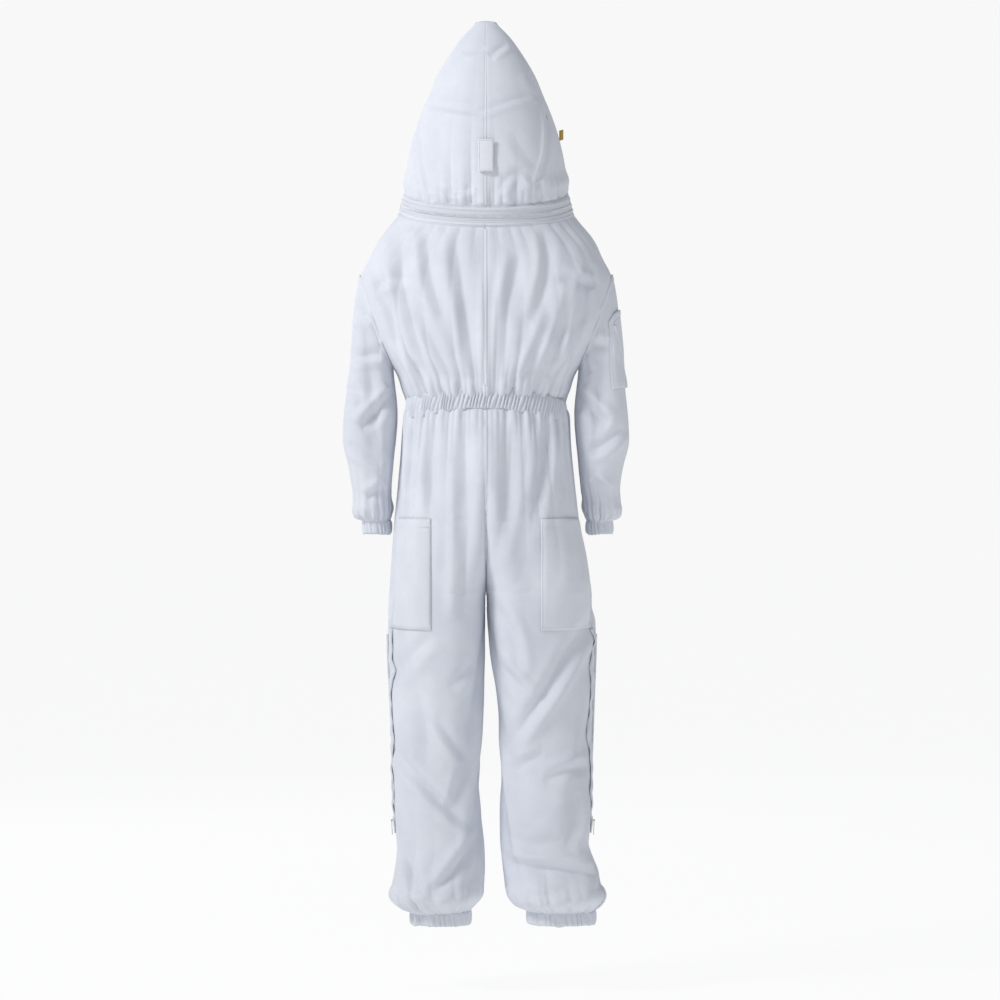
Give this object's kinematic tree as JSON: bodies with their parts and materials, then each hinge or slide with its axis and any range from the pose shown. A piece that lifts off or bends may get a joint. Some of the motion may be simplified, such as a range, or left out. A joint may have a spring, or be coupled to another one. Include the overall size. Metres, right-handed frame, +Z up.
{
  "type": "beekeeping suit",
  "caption": "Loose white beekeeping coverall with a zip-on hooped and veiled hood, gathered waist, wrists and ankles, and patch pockets.",
  "frame": {"origin": "where the suit rests on the wearer: midway between the tops of the shoulders, at the height of the sides of the neck zip", "axes": "+Z up, -Y towards the front of the suit, +X towards the wearer's left"},
  "size_m": [0.562, 0.308, 1.743],
  "materials": {
    "suit_cloth": "matte woven poly-cotton, bluish white",
    "casing_cloth": "matte woven cloth, gathered",
    "pocket_cloth": "matte woven cloth, topstitched edges",
    "hood_cloth": "matte woven cloth over a foam layer",
    "zip_tape": "fine twill tape",
    "zip_teeth": "moulded white teeth",
    "zip_metal": "nickel-plated die-cast metal",
    "elastic": "knitted elastic band",
    "veil": "black open mesh",
    "hoop": "flexible plastic strip",
    "hook_and_loop": "brushed loop tape",
    "tag": "woven olive-gold tag with no marks",
    "label": "plain satin label"
  },
  "bodies": {
    "torso": {"back_panel_left": "suit_cloth", "back_panel_right": "suit_cloth", "front_panel_left": "suit_cloth", "front_panel_right": "suit_cloth", "seat_panel_left": "suit_cloth", "seat_panel_right": "suit_cloth", "lower_front_panel_left": "suit_cloth", "lower_front_panel_right": "suit_cloth", "waist_casing": "casing_cloth", "waist_elastic": "elastic", "neck_zip_tape": "zip_tape", "neck_zip_teeth": "zip_teeth", "front_zip_tapes": "zip_tape", "front_zip_chain": "zip_teeth", "chest_pockets": "pocket_cloth", "hip_pockets": "pocket_cloth", "size_label": "label"},
    "hood": {"hood_back_left": "hood_cloth", "hood_back_right": "hood_cloth", "hood_side_left": "hood_cloth", "hood_side_right": "hood_cloth", "chin_panel": "hood_cloth", "veil_mesh": "veil", "hood_front_hoop": "hoop", "hood_rear_hoop": "hoop", "hood_zip_tape": "zip_tape", "hood_zip_teeth": "zip_teeth", "hood_tag": "tag"},
    "hood_tab": {"hood_tab": "hook_and_loop"},
    "neck_slider": {"neck_slider": "zip_metal"},
    "neck_pull": {"neck_pull": "zip_metal"},
    "front_slider": {"front_slider": "zip_metal"},
    "front_pull": {"front_pull": "zip_metal"},
    "left_sleeve": {"sleeve_back_left": "suit_cloth", "sleeve_front_left": "suit_cloth", "wrist_casing_left": "casing_cloth", "wrist_elastic_left": "elastic"},
    "left_leg": {"leg_back_left": "suit_cloth", "leg_front_left": "suit_cloth", "thigh_pocket_left": "pocket_cloth", "ankle_casing_left": "casing_cloth", "ankle_elastic_left": "elastic", "leg_zip_tapes_left": "zip_tape", "leg_zip_chain_left": "zip_teeth"},
    "leg_slider_left": {"leg_slider_left": "zip_metal"},
    "leg_pull_left": {"leg_pull_left": "zip_metal"},
    "right_sleeve": {"sleeve_back_right": "suit_cloth", "sleeve_front_right": "suit_cloth", "wrist_casing_right": "casing_cloth", "wrist_elastic_right": "elastic", "sleeve_pocket": "pocket_cloth"},
    "right_leg": {"leg_back_right": "suit_cloth", "leg_front_right": "suit_cloth", "thigh_pocket_right": "pocket_cloth", "ankle_casing_right": "casing_cloth", "ankle_elastic_right": "elastic", "leg_zip_tapes_right": "zip_tape", "leg_zip_chain_right": "zip_teeth"},
    "leg_slider_right": {"leg_slider_right": "zip_metal"},
    "leg_pull_right": {"leg_pull_right": "zip_metal"}
  },
  "joints": [
    {"name": "hood_fold", "type": "hinge", "parent": "torso", "child": "hood", "pos_m": [0, 0.125, -0.032], "axis": [-1, 0, 0], "range_deg": [0, 110]},
    {"name": "hood_tab_lift", "type": "hinge", "parent": "hood", "child": "hood_tab", "pos_m": [0, 0.1195, 0.115], "axis": [1, 0, 0], "range_deg": [0, 110]},
    {"name": "left_sleeve_raise", "type": "hinge", "parent": "torso", "child": "left_sleeve", "pos_m": [0.215, 0, -0.11], "axis": [0, -1, 0], "range_deg": [0, 60]},
    {"name": "right_sleeve_raise", "type": "hinge", "parent": "torso", "child": "right_sleeve", "pos_m": [-0.215, 0, -0.11], "axis": [0, 1, 0], "range_deg": [0, 60]},
    {"name": "left_leg_swing", "type": "hinge", "parent": "torso", "child": "left_leg", "pos_m": [0, 0, -0.7], "axis": [-1, 0, 0], "range_deg": [-15, 30]},
    {"name": "right_leg_swing", "type": "hinge", "parent": "torso", "child": "right_leg", "pos_m": [0, 0, -0.7], "axis": [-1, 0, 0], "range_deg": [-15, 30]},
    {"name": "neck_zip", "type": "hinge", "parent": "torso", "child": "neck_slider", "pos_m": [0, 0, 0.01172], "axis": [0, -0.6157, 0.788], "range_deg": [0, 55]},
    {"name": "neck_pull_swing", "type": "hinge", "parent": "neck_slider", "child": "neck_pull", "pos_m": [0, -0.13609, -0.09528], "axis": [0, -0.6157, 0.788], "range_deg": [0, 140]},
    {"name": "front_zip", "type": "slide", "parent": "torso", "child": "front_slider", "axis": [0, 0, -1], "range_m": [0, 0.416]},
    {"name": "front_pull_swing", "type": "hinge", "parent": "front_slider", "child": "front_pull", "pos_m": [0, -0.1374, -0.161], "axis": [-1, 0, 0], "range_deg": [0, 150]},
    {"name": "leg_zip_left", "type": "slide", "parent": "left_leg", "child": "leg_slider_left", "axis": [0.0512, 0, 0.9987], "range_m": [0, 0.26]},
    {"name": "leg_pull_swing_left", "type": "hinge", "parent": "leg_slider_left", "child": "leg_pull_left", "pos_m": [0.18221, 0, -1.18915], "axis": [0, -1, 0], "range_deg": [0, 150]},
    {"name": "leg_zip_right", "type": "slide", "parent": "right_leg", "child": "leg_slider_right", "axis": [-0.0384, 0, 0.9993], "range_m": [0, 0.26]},
    {"name": "leg_pull_swing_right", "type": "hinge", "parent": "leg_slider_right", "child": "leg_pull_right", "pos_m": [-0.20863, 0, -1.18916], "axis": [0, 1, 0], "range_deg": [0, 150]}
  ]
}
